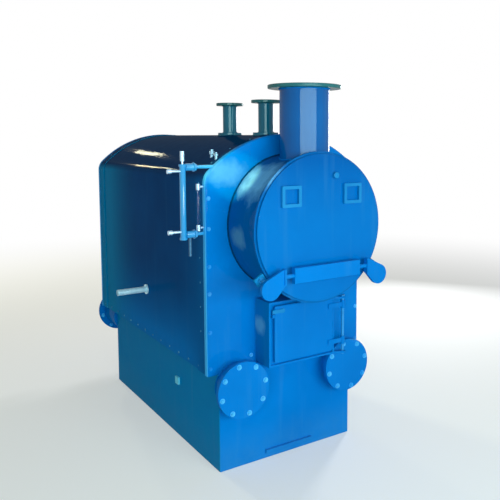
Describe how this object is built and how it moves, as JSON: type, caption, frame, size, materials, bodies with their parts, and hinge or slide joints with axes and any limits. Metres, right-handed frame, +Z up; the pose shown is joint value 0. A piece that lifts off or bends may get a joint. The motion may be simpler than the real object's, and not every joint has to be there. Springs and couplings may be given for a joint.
{
  "type": "industrial boiler",
  "caption": "Solid-fuel packaged steam boiler: arch-topped insulated casing on a base box, round smoke-box door, flanged flue and steam outlets, hinged fire door.",
  "frame": {"origin": "on the floor under the middle of the base box", "axes": "+Z is up; the front with the smoke-box door and fire door faces -Y; +X is to the right of someone facing the front"},
  "size_m": [1.561, 2.999, 2.705],
  "materials": {
    "azure_enamel": "glossy enamel over plate, lightly streaked",
    "jacket_enamel": "glossy deep-blue enamel over sheet, slightly wavy",
    "teal_primer": "glossy dark paint on the outlets and flanges",
    "plain_steel": "worn plain steel",
    "grate_iron": "rough casting with soot",
    "refractory": "matt fired lining with soot",
    "gauge_glass": "clear gauge tube",
    "gasket_rope": "packed fibre rope"
  },
  "bodies": {
    "boiler": {"ash_floor": "plain_steel", "bar_keepers": "azure_enamel", "base_box": "azure_enamel", "base_plug": "azure_enamel", "base_sill": "azure_enamel", "casing_floor": "plain_steel", "clamp_bar": "azure_enamel", "clamp_ears": "azure_enamel", "clamp_lugs": "azure_enamel", "column_drain": "plain_steel", "column_links": "azure_enamel", "crown_stubs": "plain_steel", "door_gasket": "gasket_rope", "door_grips": "azure_enamel", "door_knob": "plain_steel", "feed_stub": "plain_steel", "fire_box": "azure_enamel", "fire_frame": "azure_enamel", "fire_grate": "grate_iron", "flue_flange": "teal_primer", "flue_pipe": "azure_enamel", "front_plate": "azure_enamel", "furnace_lining": "refractory", "gauge_cocks": "plain_steel", "gauge_glass": "gauge_glass", "header_covers": "azure_enamel", "header_necks": "azure_enamel", "hinge_brackets": "azure_enamel", "hinge_rod": "plain_steel", "jacket": "jacket_enamel", "jacket_bands": "jacket_enamel", "latch_rest": "azure_enamel", "level_column": "azure_enamel", "rear_plate": "azure_enamel", "safety_flange": "teal_primer", "safety_outlet": "teal_primer", "smoke_box": "azure_enamel", "smoke_box_ring": "azure_enamel", "smoke_door": "azure_enamel", "steam_flange": "teal_primer", "steam_outlet": "teal_primer", "tie_bolts": "plain_steel"},
    "fire_door": {"fire_door": "azure_enamel", "door_straps": "azure_enamel", "door_latch": "azure_enamel"}
  },
  "joints": [
    {"name": "fire_door_hinge", "type": "hinge", "parent": "boiler", "child": "fire_door", "pos_m": [0.35, -1.291, 0.985], "axis": [0, 0, 1], "range_deg": [0, 110]}
  ]
}
